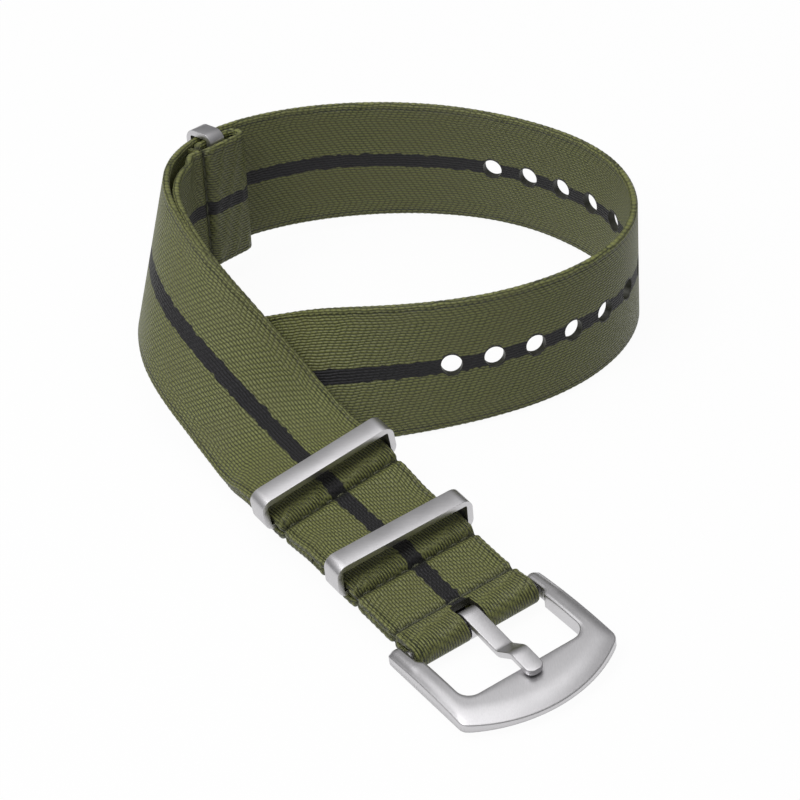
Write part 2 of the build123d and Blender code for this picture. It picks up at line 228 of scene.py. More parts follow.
def station(distance):
    """The place, toward, outward and up directions at a distance from the bar."""
    position = distance / step_length
    index = min(int(position), path_steps - 1)
    mix = position - index
    found = [a.lerp(b, mix) for a, b in zip(path[index], path[index + 1])]
    return found[0], found[1].normalized(), found[2].normalized(), found[3].normalized()


def rolled_end(x):
    """The outward and up directions at a reach in front of the bar, where the flat part rolls a little."""
    share = min(1.0, max(0.0, (x + roll_start) / (roll_start - roll_end)))
    roll = buckle_roll * share**2 * (3 - 2 * share)
    outward, up = path[0][2:]
    return outward * math.cos(roll) + up * math.sin(roll), up * math.cos(roll) - outward * math.sin(roll)


# Webbing: seat-belt nylon, woven in fine warp ribs with a black stripe down its middle and a thicker edge on
# each side. Both straps are cut from it with a hot knife. It is one skin round a line, rounded at the edges.
face_columns = 28
edge_columns = 6
edge_round = 0.42 * mm
scallop_pitch = 1.1 * mm
scallop_depth = 0.10 * mm
coarse_step = 0.4 * mm
fine_step = 0.28 * mm
merge_reach = 0.0005 * mm


def section_loop(half):
    """Across positions and thickness shares once round the webbing's section, from one edge and back."""
    flat = half - edge_round
    loop = [(-flat + 2 * flat * k / face_columns, 1.0) for k in range(face_columns)]
    for k in range(edge_columns):
        angle = math.pi * k / edge_columns
        loop.append((flat + edge_round * math.sin(angle), math.cos(angle)))
    loop += [(flat - 2 * flat * k / face_columns, -1.0) for k in range(face_columns)]
    for k in range(edge_columns):
        angle = math.pi * k / edge_columns
        loop.append((-flat - edge_round * math.sin(angle), -math.cos(angle)))
    return loop


def skin(name, rings):
    """A closed skin over rings of points: a grid rolled into a tube, joined where its two sides meet and
    capped.
    """
    rows = len(rings)
    columns = len(rings[0]) + 1
    bpy.ops.object.select_all(action="DESELECT")
    bpy.ops.mesh.primitive_grid_add(x_subdivisions=columns - 1, y_subdivisions=rows - 1, size=1.0)
    made = bpy.context.object
    made.name = name
    made.data.name = name
    wanted = np.array([[tuple(ring[k % len(ring)]) for k in range(columns)] for ring in rings])
    flat = np.empty(len(made.data.vertices) * 3)
    made.data.vertices.foreach_get("co", flat)
    grid = flat.reshape(-1, 3)
    column = np.rint((grid[:, 0] + 1 / 2) * (columns - 1)).astype(int)
    row = np.rint((grid[:, 1] + 1 / 2) * (rows - 1)).astype(int)
    made.data.vertices.foreach_set("co", wanted[row, column].ravel())
    bpy.ops.object.mode_set(mode="EDIT")
    bpy.ops.mesh.select_all(action="SELECT")
    bpy.ops.mesh.remove_doubles(threshold=merge_reach)
    bpy.ops.mesh.fill_holes(sides=0)
    bpy.ops.mesh.select_all(action="SELECT")
    bpy.ops.mesh.normals_make_consistent(inside=False)
    bpy.ops.object.mode_set(mode="OBJECT")
    return made


def smooth_line(points, reach):
    """Points at an even spacing along a polyline, with its corners eased over a reach."""
    points = np.array(points)
    lengths = np.concatenate(([0], np.cumsum(np.linalg.norm(np.diff(points, axis=0), axis=1))))
    count = int(lengths[-1] / fine_step) + 1
    even = np.linspace(0, lengths[-1], count)
    line = np.stack([np.interp(even, lengths, points[:, k]) for k in range(2)], axis=1)
    width = max(1, round(reach / fine_step))
    for _ in range(2):
        padded = np.concatenate(
            (2 * line[0] - line[width:0:-1], line, 2 * line[-1] - line[-2 : -width - 2 : -1])
        )
        kernel = np.ones(2 * width + 1) / (2 * width + 1)
        line = np.stack([np.convolve(padded[:, k], kernel, "valid") for k in range(2)], axis=1)
    return line


def webbing_skin(name, stations, creases, narrowing):
    """A strap's skin. A station is a place, the bend line's vector, a distance along and a lean."""
    shakes = random.Random(name)
    count = len(stations)
    middle = np.array([tuple(s[0]) for s in stations])
    across = np.array([tuple(s[1]) for s in stations])
    along = np.array([s[2] for s in stations])
    lean = np.array([s[3] for s in stations])
    direction = np.gradient(middle, axis=0)
    turning = np.gradient(across, axis=0)
    wave = np.array([shakes.uniform(0.5, 1.2) for _ in range(count)])
    wave = np.convolve(wave, np.ones(5) / 5, "same")
    scallop = -scallop_depth * wave * (0.5 - 0.5 * np.cos(2 * math.pi * along / scallop_pitch))
    rings = []
    marks = []
    for i in range(count):
        loop = np.array(section_loop(narrowing(along[i])))
        edge = np.abs(loop[:, 0]) / half_width
        reach = loop[:, 0] + np.sign(loop[:, 0]) * scallop[i] * np.clip(edge * 4 - 3, 0, 1)
        surface = middle[i] + reach[:, None] * across[i]
        ahead = direction[i] + reach[:, None] * turning[i]
        normal = np.cross(np.broadcast_to(across[i], surface.shape), ahead)
        normal /= np.linalg.norm(normal, axis=1)[:, None]
        depth = loop[:, 1] * webbing_thickness / 2
        for crease_along, side, crease_depth in creases:
            gap = along[i] - crease_along - lean[i] * reach
            pucker = 0.85 + 0.15 * np.cos(2 * math.pi * reach / stitch_pitch)
            dent = crease_depth * pucker * np.exp(-((np.abs(gap) / crease_reach) ** 1.4))
            swell = swell_share * crease_depth * np.exp(-(((np.abs(gap) - swell_place) / swell_reach) ** 2))
            depth = depth + np.where(loop[:, 1] * side > 0, side * (swell - dent) * np.abs(loop[:, 1]), 0)
            notch = notch_depth * np.exp(-((gap / notch_reach) ** 2)) * np.clip(edge * 8 - 7, 0, 1)
            surface = surface - (np.sign(reach) * notch)[:, None] * across[i]
        rings.append([Vector(p) for p in surface - normal * depth[:, None]])
        marks.append(np.stack([along[i] - lean[i] * reach, reach], axis=1))
    made = skin(name, rings)
    marks = np.array(marks) / mm
    spots = np.array([[tuple(p) for p in ring] for ring in rings]).reshape(-1, 3)
    write_map(made, spots, marks.reshape(-1, 2))
    return made


def write_map(made, spots, marks):
    """Gives each corner of a mesh the webbing coordinates, in millimetres, of the spot that it lies on."""
    tree = kdtree.KDTree(len(spots))
    for index, spot in enumerate(spots):
        tree.insert(spot, index)
    tree.balance()
    found = np.array([marks[tree.find(v.co)[1]] for v in made.data.vertices])
    corners = np.empty(len(made.data.loops), int)
    made.data.loops.foreach_get("vertex_index", corners)
    layer = made.data.uv_layers[0] if made.data.uv_layers else made.data.uv_layers.new()
    layer.name = "webbing"
    layer.data.foreach_set("uv", found[corners].ravel())


stitch_pitch = 2.0 * mm
crease_reach = 0.42 * mm
crease_depth = 0.50 * mm
swell_share = 0.36
swell_place = 2.8 * crease_reach
swell_reach = 1.3 * crease_reach
notch_depth = 0.28 * mm
notch_reach = 0.5 * mm
buckle_row = 4.0 * mm
tunnel_rise = 0.9 * mm
keeper_wall = 0.95 * mm
keeper_band = 2.9 * mm
keeper_clearance = 0.25 * mm
tunnel_ease = 0.85 * mm
tube_radius = 0.9 * mm
bar_fold_clearance = 0.06 * mm
return_ply_end = 23.0 * mm
flap_butt_gap = 0.4 * mm
tip_corner = 4.0 * mm
tunnel_flat = keeper_band / 2 + tunnel_ease
tunnel_dip = keeper_wall + 2 * keeper_clearance - ply_gap - tunnel_rise
fold_radius = tube_radius + bar_fold_clearance + webbing_thickness / 2
bar_drop = ply_pitch / 2
bar_origin, bar_toward, bar_outward = path[0][:3]
seat = bar_origin - bar_outward * bar_drop


def tunnel(middle, level, rise):
    """The middle line of a ply that passes a keeper's bar, from back to front."""
    return [
        (middle - tunnel_row_reach, level),
        (middle - tunnel_flat, level + rise),
        (middle + tunnel_flat, level + rise),
        (middle + tunnel_row_reach, level),
    ]


def along_flat(points, start_along):
    """Stations from points on the flat part's side plane, X toward the buckle and Y outward."""
    made = []
    walked = 0.0
    before = points[0]
    for point in points:
        walked += math.hypot(point[0] - before[0], point[1] - before[1])
        before = point
        out, rise = rolled_end(point[0])
        spot = seat + bar_toward * point[0] + out * (point[1] + bar_drop)
        made.append((spot, rise, start_along + walked, 0.0))
    return made


def along_ring(points, start_along):
    """Stations from points on the side plane at the end ring, X toward the buckle and Y outward."""
    origin, ahead, out, rise = station(flap_ring_place)
    made = []
    walked = 0.0
    before = points[0]
    for point in points:
        walked += math.hypot(point[0] - before[0], point[1] - before[1])
        before = point
        made.append((origin + ahead * point[0] + out * point[1], rise.copy(), start_along + walked, 0.0))
    return made


def free_stations(start, end, inset):
    """Stations on the free part of the webbing, at an inset inside its middle line."""
    made = []
    count = int((end - start) / coarse_step)
    for k in range(1, count + 1):
        distance = start + (end - start) * k / count
        origin, ahead, out, rise = station(distance)
        tilt = curl_at(distance, 3)
        made.append((origin - out * inset(distance), rise + ahead * tilt, distance, tilt))
    return made


leave = math.pi - math.atan2(bar_drop, buckle_row)
leave -= math.acos(fold_radius / math.hypot(buckle_row, bar_drop))
inner_ply = [(-return_ply_end, -ply_pitch)]
inner_ply += tunnel(-first_keeper, -ply_pitch, -tunnel_dip)
inner_ply += [(-buckle_row, -ply_pitch)]
fold_steps = 24
for k in range(fold_steps + 1):
    angle = -leave + 2 * leave * k / fold_steps
    inner_ply.append((fold_radius * math.cos(angle), fold_radius * math.sin(angle) - bar_drop))
outer_ply = [(-buckle_row, 0)]
outer_ply += reversed(tunnel(-first_keeper, 0, tunnel_rise))
outer_ply += reversed(tunnel(-last_keeper, 0, tunnel_rise))
outer_ply += [(-flat_run, 0)]
tunnel_softness = 0.5 * mm
side_line = smooth_line(inner_ply + outer_ply, tunnel_softness)
side_length = float(np.linalg.norm(np.diff(side_line, axis=0), axis=1).sum())
main_stations = along_flat(side_line, flat_run - side_length)
main_stations += free_stations(flat_run, strap_run, lambda distance: 0.0)


def along_at(x, outer):
    """The distance along the long strap's own skin at a place on one of its two plies behind the buckle."""
    level = 0 if outer else -ply_pitch
    gaps = np.hypot(side_line[:, 0] - x, side_line[:, 1] - level)
    return main_stations[int(np.argmin(gaps))][2]


def tip_half(distance):
    """Half the long strap's width, which its rounded tip corners narrow."""
    past = max(0.0, distance - (strap_run - tip_corner))
    return half_width - tip_corner + math.sqrt(max(0.0, tip_corner**2 - past**2))


row_places = [-buckle_row]
for keeper in (first_keeper, last_keeper):
    row_places += [-keeper + tunnel_row_reach, -keeper - tunnel_row_reach]
main_creases = [(along_at(x, True), -1, crease_depth) for x in row_places]
main_creases += [(along_at(x, False), -1, crease_depth) for x in row_places[:3]]
main_webbing = webbing_skin("main_webbing", main_stations, main_creases, tip_half)

# Short strap: the same webbing, laid under the long one and sewn to it at the second keeper. Its far end is
# folded round the end ring's bar and sewn to itself.
flap_ring_place = 108.7 * mm
flap_lift_place = 80.0 * mm
flap_lift_end = 96.0 * mm
flap_lift = 1.4 * mm
flap_slack = 0.1 * mm
flap_slack_run = 5.0 * mm
keeper_height = 5.4 * mm
ring_outer_clearance = 0.25 * mm
fold_overrun = 5.3 * mm
fold_tail = 1.0 * mm
fold_lead = 1.9 * mm
fold_softness = 0.4 * mm
fold_gap_run = 7.4 * mm
ring_top = webbing_thickness / 2 + ring_outer_clearance + keeper_wall
ring_bar_low = ring_top - keeper_height
fold_inner = ring_bar_low - keeper_clearance - webbing_thickness / 2
fold_outer = ring_bar_low + keeper_wall + keeper_clearance + webbing_thickness / 2
fold_turn = (fold_outer - fold_inner) / 2
fold_middle = (fold_outer + fold_inner) / 2
fold_turn_x = -(fold_overrun - fold_turn - webbing_thickness / 2)
row_inner = fold_middle - ply_pitch / 2
row_outer = fold_middle + ply_pitch / 2


def flap_inset(distance):
    """How far the short strap lies inside the long one."""
    slack = min(1, (distance - flat_run) / flap_slack_run)
    lift = max(0, distance - flap_lift_place) / (flap_lift_end - flap_lift_place)
    return ply_pitch + flap_slack * slack + flap_lift * lift**2


flap_flat = [(-return_ply_end - flap_butt_gap, -ply_pitch)]
flap_flat += reversed(tunnel(-last_keeper, -ply_pitch, -tunnel_dip))
flap_flat += [(-flat_run, -ply_pitch)]
flap_line = smooth_line(flap_flat, tunnel_softness)
flap_length = float(np.linalg.norm(np.diff(flap_line, axis=0), axis=1).sum())
flap_stations = along_flat(flap_line, flat_run - flap_length)
flap_stations += free_stations(flat_run, flap_lift_end, flap_inset)
fold_line = [
    (tunnel_row_reach + fold_lead, row_inner),
    (tunnel_row_reach, row_inner),
    (tunnel_flat, fold_inner),
    (fold_turn_x, fold_inner),
]
for k in range(1, fold_steps):
    angle = -math.pi / 2 - math.pi * k / fold_steps
    fold_line.append((fold_turn_x + fold_turn * math.cos(angle), fold_middle + fold_turn * math.sin(angle)))
fold_line += [
    (fold_turn_x, fold_outer),
    (tunnel_flat, fold_outer),
    (tunnel_row_reach, row_outer),
    (tunnel_row_reach + fold_tail, row_outer),
]
fold_points = smooth_line(fold_line, fold_softness)
fold_start = flap_stations[-1][2] + fold_gap_run
fold_stations = along_ring(fold_points, fold_start)
bridge_steps = 16
bridge_from, bridge_to = flap_stations[-1], fold_stations[0]
bridge_out = (flap_stations[-1][0] - flap_stations[-2][0]).normalized()
bridge_in = (fold_stations[1][0] - fold_stations[0][0]).normalized()
bridge_length = (bridge_to[0] - bridge_from[0]).length
for k in range(1, bridge_steps):
    t = k / bridge_steps
    place = (
        bridge_from[0] * (2 * t**3 - 3 * t**2 + 1)
        + bridge_out * (bridge_length * (t**3 - 2 * t**2 + t))
        + bridge_to[0] * (3 * t**2 - 2 * t**3)
        + bridge_in * (bridge_length * (t**3 - t**2))
    )
    bend_line = bridge_from[1].lerp(bridge_to[1], t)
    walked = bridge_from[2] + (fold_start - bridge_from[2]) * t
    flap_stations.append((place, bend_line, walked, bridge_from[3] * (1 - t)))
flap_stations += fold_stations


def flap_along(points, stations, x, y):
    """The distance along the short strap's skin nearest a point on a side plane."""
    return stations[int(np.argmin(np.hypot(points[:, 0] - x, points[:, 1] - y)))][2]


flat_stations = along_flat(flap_line, flat_run - flap_length)
flap_creases = []
for x in row_places[3:]:
    flap_creases.append((flap_along(flap_line, flat_stations, x, -ply_pitch), 1, crease_depth))
for level in (row_inner, row_outer):
    flap_creases.append((flap_along(fold_points, fold_stations, tunnel_row_reach, level), 1, crease_depth))
flap_webbing = webbing_skin("flap_webbing", flap_stations, flap_creases, lambda distance: half_width)

# Adjustment holes down the stripe and the slot for the tongue, melted through the long strap with a hot
# punch. Their walls and rims are fused nylon, darker and smoother than the weave.
hole_radius = 1.55 * mm
hole_pitch = 6.26 * mm
hole_count = 13
tip_to_first_hole = 34.2 * mm
slot_width = 3.2 * mm
slot_back = 2.7 * mm
slot_front = fold_radius + webbing_thickness

cutters = []
hole_spots = []
for k in range(hole_count):
    spot, ahead, out, rise = station(strap_run - tip_to_first_hole - k * hole_pitch)
    hole_spots.append(spot)
    bpy.ops.object.select_all(action="DESELECT")
    bpy.ops.mesh.primitive_cylinder_add(vertices=40, radius=hole_radius, depth=4 * webbing_thickness)
    cutter = bpy.context.object
    cutter.matrix_world = Matrix.Translation(spot) @ out.to_track_quat("Z", "Y").to_matrix().to_4x4()
    cutters.append(cutter)
bpy.ops.object.select_all(action="DESELECT")
bpy.ops.mesh.primitive_cube_add(size=1.0)
cutter = bpy.context.object
slot_middle = seat + bar_toward * ((slot_front - slot_back) / 2)
rolled_outward, rolled_up = rolled_end(0.0)
slot_axes = Matrix((bar_toward, rolled_up, rolled_outward)).transposed().to_4x4()
cutter.matrix_world = (
    Matrix.Translation(slot_middle)
    @ slot_axes
    @ Matrix.Diagonal((slot_front + slot_back, slot_width, 2 * slot_front, 1))
)
cutters.append(cutter)
bpy.ops.object.select_all(action="DESELECT")
for cutter in cutters:
    cutter.select_set(True)
bpy.context.view_layer.objects.active = cutters[0]
bpy.ops.object.join()
cutter = bpy.context.object
bpy.ops.object.transform_apply(location=True, rotation=True, scale=True)


def nylon_group():
    """The webbing's weave: its height, fibre tone with painted shade in the gaps, the stripe and the sewn
    edges.
    """
    group = bpy.data.node_groups.new("webbing_weave", "ShaderNodeTree")
    face = group.interface
    face.new_socket("Webbing", in_out="INPUT", socket_type="NodeSocketVector")
    for name, value in (("Rib pitch", 0.42), ("Float length", 0.92), ("Stripe half", 1.14), ("Edge", 9.05)):
        socket = face.new_socket(name, in_out="INPUT", socket_type="NodeSocketFloat")
        socket.default_value = value
    for name in ("Height", "Fibre tone and gap shade", "Stripe", "Worn"):
        face.new_socket(name, in_out="OUTPUT", socket_type="NodeSocketFloat")
    tree = group
    given = place_nodes(tree, "NodeGroupInput")
    split = place_nodes(tree, "ShaderNodeSeparateXYZ", Vector=given.outputs["Webbing"])
    along, side = split.outputs["X"], split.outputs["Y"]
    reach = maths(tree, "ABSOLUTE", side)
    drift = place_nodes(tree, "ShaderNodeTexNoise", Vector=given.outputs["Webbing"], Scale=0.35, Detail=1.0)
    drift_side = maths(tree, "MULTIPLY_ADD", drift.outputs[0], 0.5, side)
    ribs = maths(tree, "DIVIDE", drift_side, given.outputs["Rib pitch"])
    rib_number = maths(tree, "FLOOR", ribs)
    rib_round = maths(tree, "SINE", maths(tree, "MULTIPLY", maths(tree, "FRACT", ribs), math.pi))
    past_edge = maths(tree, "GREATER_THAN", reach, maths(tree, "SUBTRACT", given.outputs["Edge"], 1.6))
    hand = maths(tree, "SUBTRACT", 1.0, maths(tree, "MULTIPLY", past_edge, 2.0))
    stagger = maths(tree, "MULTIPLY", maths(tree, "MULTIPLY", rib_number, 0.29), hand)
    float_phase = maths(tree, "ADD", maths(tree, "DIVIDE", along, given.outputs["Float length"]), stagger)
    float_local = maths(tree, "FRACT", float_phase)
    float_round = maths(tree, "SINE", maths(tree, "MULTIPLY", float_local, math.pi))
    float_round = maths(tree, "POWER", maths(tree, "MAXIMUM", float_round, 0.0), 0.6)
    float_height = maths(tree, "MULTIPLY_ADD", float_round, 0.65, 0.35)
    weave = maths(tree, "MULTIPLY", maths(tree, "POWER", rib_round, 0.7), float_height)
    groove = maths(tree, "SUBTRACT", reach, given.outputs["Edge"])
    groove = maths(tree, "MULTIPLY", groove, groove)
    groove = maths(tree, "SUBTRACT", 1.0, maths(tree, "MULTIPLY", groove, 22.0))
    dots = maths(tree, "SINE", maths(tree, "MULTIPLY", float_phase, 2 * math.pi))
    dots = maths(tree, "MULTIPLY_ADD", dots, 0.35, 0.5)
    groove = maths(tree, "MULTIPLY", maths(tree, "MAXIMUM", groove, 0.0), dots)
    strands = place_nodes(tree, "ShaderNodeTexNoise", Scale=9.0, Detail=2.0)
    stretched = place_nodes(tree, "ShaderNodeCombineXYZ", X=maths(tree, "MULTIPLY", along, 0.12), Y=side)
    tree.links.new(stretched.outputs[0], strands.inputs["Vector"])
    fibre = maths(tree, "SUBTRACT", strands.outputs[0], 0.5)
    height = maths(tree, "ADD", weave, maths(tree, "MULTIPLY", fibre, 0.35))
    height = maths(tree, "SUBTRACT", height, maths(tree, "MULTIPLY", groove, 0.9))
    # Fibre tone, and painted shade: the level drops in the gaps between ribs and floats and in the edge
    # grooves.
    depth = maths(tree, "MULTIPLY_ADD", fibre, 0.5, weave)
    depth = maths(tree, "SUBTRACT", depth, maths(tree, "MULTIPLY", groove, 0.75))
    edge_side = maths(tree, "MULTIPLY", maths(tree, "SIGN", side), 7.0)
    edge_along = maths(tree, "MULTIPLY", along, 0.62)
    edge_place = place_nodes(tree, "ShaderNodeCombineXYZ", X=edge_along, Y=edge_side)
    waves = place_nodes(tree, "ShaderNodeTexNoise", Vector=edge_place.outputs[0], Scale=1.0, Detail=1.5)
    ragged = place_nodes(tree, "ShaderNodeTexNoise", Vector=given.outputs["Webbing"], Scale=1.6, Detail=1.0)
    jag = maths(tree, "MULTIPLY", ragged.outputs[0], 0.22)
    jag = maths(tree, "MULTIPLY_ADD", waves.outputs[0], 1.15, jag)
    wander = place_nodes(tree, "ShaderNodeTexNoise", Vector=given.outputs["Webbing"], Scale=0.05, Detail=0.0)
    centre = maths(tree, "MULTIPLY_ADD", wander.outputs[0], 0.8, maths(tree, "SUBTRACT", side, 0.4))
    rim = maths(tree, "SUBTRACT", maths(tree, "ADD", given.outputs["Stripe half"], jag), 0.69)
    past_rim = maths(tree, "SUBTRACT", rim, maths(tree, "ABSOLUTE", centre))
    stripe = place_nodes(tree, "ShaderNodeMapRange", i0=past_rim, i1=-0.06, i2=0.06)
    worn = place_nodes(tree, "ShaderNodeTexNoise", Vector=given.outputs["Webbing"], Scale=0.16, Detail=3.0)
    out = place_nodes(tree, "NodeGroupOutput")
    tree.links.new(height, out.inputs["Height"])
    tree.links.new(depth, out.inputs["Fibre tone and gap shade"])
    tree.links.new(stripe.outputs[0], out.inputs["Stripe"])
    tree.links.new(worn.outputs[0], out.inputs["Worn"])
    return group


webbing_weave = nylon_group()


def finish(name, roughness, **values):
    """A material with one Principled shader, and that shader."""
    made = bpy.data.materials.new(name)
    made.use_nodes = True
    shader = made.node_tree.nodes["Principled BSDF"]
    shader.inputs["Roughness"].default_value = roughness
    for key, value in values.items():
        shader.inputs[key.replace("_", " ")].default_value = value
    return made, shader


def blend_colours(tree, amount, first, second):
    """One colour blended into another."""
    made = place_nodes(tree, "ShaderNodeMix", data_type="RGBA")
    for socket, value in ((made.inputs[0], amount), (made.inputs[6], first), (made.inputs[7], second)):
        if isinstance(value, bpy.types.NodeSocket):
            tree.links.new(value, socket)
        else:
            socket.default_value = value
    return made.outputs[2]


olive_nylon, shader = finish(
    "olive_nylon", 0.46, Sheen_Weight=0.11, Sheen_Roughness=0.35, Specular_IOR_Level=0.45
)
shader.inputs["Sheen Tint"].default_value = (0.82, 0.84, 0.74, 1)
tree = olive_nylon.node_tree
webbing_place = place_nodes(tree, "ShaderNodeUVMap", uv_map="webbing")
weave = place_nodes(tree, "ShaderNodeGroup", node_tree=webbing_weave)
tree.links.new(webbing_place.outputs[0], weave.inputs["Webbing"])
pull_mark = place_nodes(tree, "ShaderNodeAttribute", attribute_name="pull")
thread_place = place_nodes(tree, "ShaderNodeSeparateXYZ", Vector=webbing_place.outputs[0])
slant = maths(tree, "MULTIPLY", thread_place.outputs["Y"], 14.4)
slant = maths(tree, "MULTIPLY_ADD", thread_place.outputs["X"], 2.4, slant)
gathers = maths(tree, "MULTIPLY", maths(tree, "SINE", slant), pull_mark.outputs["Fac"])
# Painted shade: the green runs from near black in the weave's gaps and the gathered ribs' troughs to light
# olive on their crowns; the stripe's black follows the same painted shade.
tone_and_relief_shade = maths(tree, "MULTIPLY_ADD", gathers, 0.50, weave.outputs["Fibre tone and gap shade"])
level = place_nodes(tree, "ShaderNodeMapRange", i0=tone_and_relief_shade, i1=0.15, i2=0.95).outputs[0]
green = blend_colours(tree, level, (0.024, 0.028, 0.008, 1), (0.215, 0.230, 0.070, 1))
tone = place_nodes(tree, "ShaderNodeMapRange", i0=weave.outputs["Worn"], i1=0.35, i2=0.65, i3=0.0, i4=0.30)
green = blend_colours(tree, tone.outputs[0], green, (0.130, 0.128, 0.048, 1))
black = blend_colours(tree, level, (0.001, 0.001, 0.002, 1), (0.008, 0.007, 0.010, 1))
cloth = blend_colours(tree, weave.outputs["Stripe"], green, black)
# Painted shade: along each stitch row the cloth is darkened nearly to black for the shadow in the crease.
painted_crease_shade_mark = place_nodes(tree, "ShaderNodeAttribute", attribute_name="painted_crease_shade")
shade = maths(tree, "MULTIPLY", painted_crease_shade_mark.outputs["Fac"], 0.85)
cloth = blend_colours(tree, shade, cloth, (0.008, 0.009, 0.004, 1))
rim_mark = place_nodes(tree, "ShaderNodeAttribute", attribute_name="fused")
scorch = place_nodes(tree, "ShaderNodeTexNoise", Vector=webbing_place.outputs[0], Scale=2.2, Detail=2.0)
melted = maths(tree, "MULTIPLY_ADD", scorch.outputs[0], 0.9, rim_mark.outputs["Fac"])
melted = place_nodes(tree, "ShaderNodeMapRange", i0=melted, i1=0.85, i2=1.05).outputs[0]
cloth = blend_colours(tree, melted, cloth, (0.012, 0.011, 0.009, 1))
tree.links.new(cloth, shader.inputs["Base Color"])
dull = place_nodes(tree, "ShaderNodeMapRange", i0=weave.outputs["Stripe"], i3=0.46, i4=0.62)
tree.links.new(dull.outputs[0], shader.inputs["Roughness"])
relief = maths(tree, "MULTIPLY_ADD", gathers, 0.7, weave.outputs["Height"])
bump = place_nodes(tree, "ShaderNodeBump", Strength=0.9, Distance=0.16 * mm, Height=relief)
tree.links.new(bump.outputs[0], shader.inputs["Normal"])

fused_nylon, shader = finish("fused_nylon", 0.45, Specular_IOR_Level=0.4)
tree = fused_nylon.node_tree
spots = place_nodes(tree, "ShaderNodeTexCoord")
lumps = place_nodes(tree, "ShaderNodeTexNoise", Vector=spots.outputs["Object"], Scale=2600.0, Detail=3.0)
burnt = blend_colours(tree, lumps.outputs[0], (0.012, 0.012, 0.010, 1), (0.055, 0.055, 0.035, 1))
tree.links.new(burnt, shader.inputs["Base Color"])
bump = place_nodes(tree, "ShaderNodeBump", Strength=0.6, Distance=0.08 * mm, Height=lumps.outputs[0])
tree.links.new(bump.outputs[0], shader.inputs["Normal"])

for strap in (main_webbing, flap_webbing):
    strap.data.materials.append(olive_nylon)
    strap.data.materials.append(fused_nylon)
cutter.data.materials.append(olive_nylon)
cutter.data.materials.append(fused_nylon)
for face in cutter.data.polygons:
    face.material_index = 1
bpy.ops.object.select_all(action="DESELECT")
main_webbing.select_set(True)
bpy.context.view_layer.objects.active = main_webbing
punch = main_webbing.modifiers.new("punch", "BOOLEAN")
punch.operation = "DIFFERENCE"
punch.solver = "EXACT"
punch.object = cutter
bpy.ops.object.modifier_apply(modifier="punch")
bpy.data.objects.remove(cutter)

melt_reach = 0.45 * mm
melt_fade = 0.35 * mm
fused = main_webbing.data.attributes.new("fused", "FLOAT", "POINT")
rim_values = []
for vertex in main_webbing.data.vertices:
    nearest = min((vertex.co - spot).length for spot in hole_spots)
    rim_values.append(max(0.0, min(1.0, (hole_radius + melt_reach - nearest) / melt_fade)))
fused.data.foreach_set("value", rim_values)


def mark_pull(strap, spans, creases):
    """Marks, by distances along a strap, where it is drawn over a bar and the painted shade in its creases.
    """
    corners = np.empty(len(strap.data.loops), int)
    strap.data.loops.foreach_get("vertex_index", corners)
    places = np.empty(len(strap.data.loops) * 2)
    strap.data.uv_layers["webbing"].data.foreach_get("uv", places)
    along = np.zeros(len(strap.data.vertices))
    along[corners] = places.reshape(-1, 2)[:, 0] * mm
    pull = np.zeros(len(along))
    for start, end, strength in spans:
        past = np.abs(along - (start + end) / 2) - abs(end - start) / 2
        pull = np.maximum(pull, strength * np.clip(0.5 - past / pull_fade, 0, 1))
    strap.data.attributes.new("pull", "FLOAT", "POINT").data.foreach_set("value", pull)
    # Painted shade: a dark band along each crease, where the stitch row pulls the webbing in and shadow
    # falls.
    painted_crease_shade = sum(np.exp(-(((along - crease[0]) / painted_crease_shade_reach) ** 2)) for crease in creases)
    strap.data.attributes.new("painted_crease_shade", "FLOAT", "POINT").data.foreach_set("value", np.minimum(painted_crease_shade, 1.0))


pull_fade = 0.8 * mm
painted_crease_shade_reach = 0.34 * mm
hump_pull = 0.85
fold_pull = 0.40
main_pulls = [(along_at(-buckle_row, False), along_at(-buckle_row, True), fold_pull)]
for near, far in (row_places[1:3], row_places[3:5]):
    main_pulls.append((along_at(near, True), along_at(far, True), hump_pull))
mark_pull(main_webbing, main_pulls, main_creases)
mark_pull(flap_webbing, [(flap_creases[-2][0], flap_creases[-1][0], fold_pull)], flap_creases)


def dress(piece, body, slot, *nodes):
    """Smooths a finished piece's shading, ties it to its body and hides the nodes it replaces; slot is not
    used.
    """
    bpy.ops.object.select_all(action="DESELECT")
    piece.select_set(True)
    bpy.context.view_layer.objects.active = piece
    bpy.ops.object.shade_smooth_by_angle(angle=math.radians(48))
    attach(piece, body)
    if nodes:
        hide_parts(*nodes)


dress(main_webbing, "strap", "webbing", "main_strap")
dress(flap_webbing, "strap", "webbing", "flap_strap")

# Stitch rows: dark polyester lockstitch, sunk into the creases that it pulls across the webbing's two faces.
# One stitch is a short length of thread, and each row repeats it.
thread_radius = 0.21 * mm
thread_sink = 0.7 * crease_depth
stitch_edge = 0.9 * mm

thread_finish, shader = finish("dark_thread", 0.6, Sheen_Weight=0.2)
tree = thread_finish.node_tree
spots = place_nodes(tree, "ShaderNodeTexCoord")
plies = place_nodes(tree, "ShaderNodeTexWave", Vector=spots.outputs["Object"], Scale=900.0, Distortion=1.5)
thread_colour = blend_colours(tree, plies.outputs["Fac"], (0.022, 0.024, 0.011, 1), (0.100, 0.105, 0.052, 1))
tree.links.new(thread_colour, shader.inputs["Base Color"])
bump = place_nodes(tree, "ShaderNodeBump", Strength=0.5, Distance=0.05 * mm, Height=plies.outputs["Fac"])
tree.links.new(bump.outputs[0], shader.inputs["Normal"])


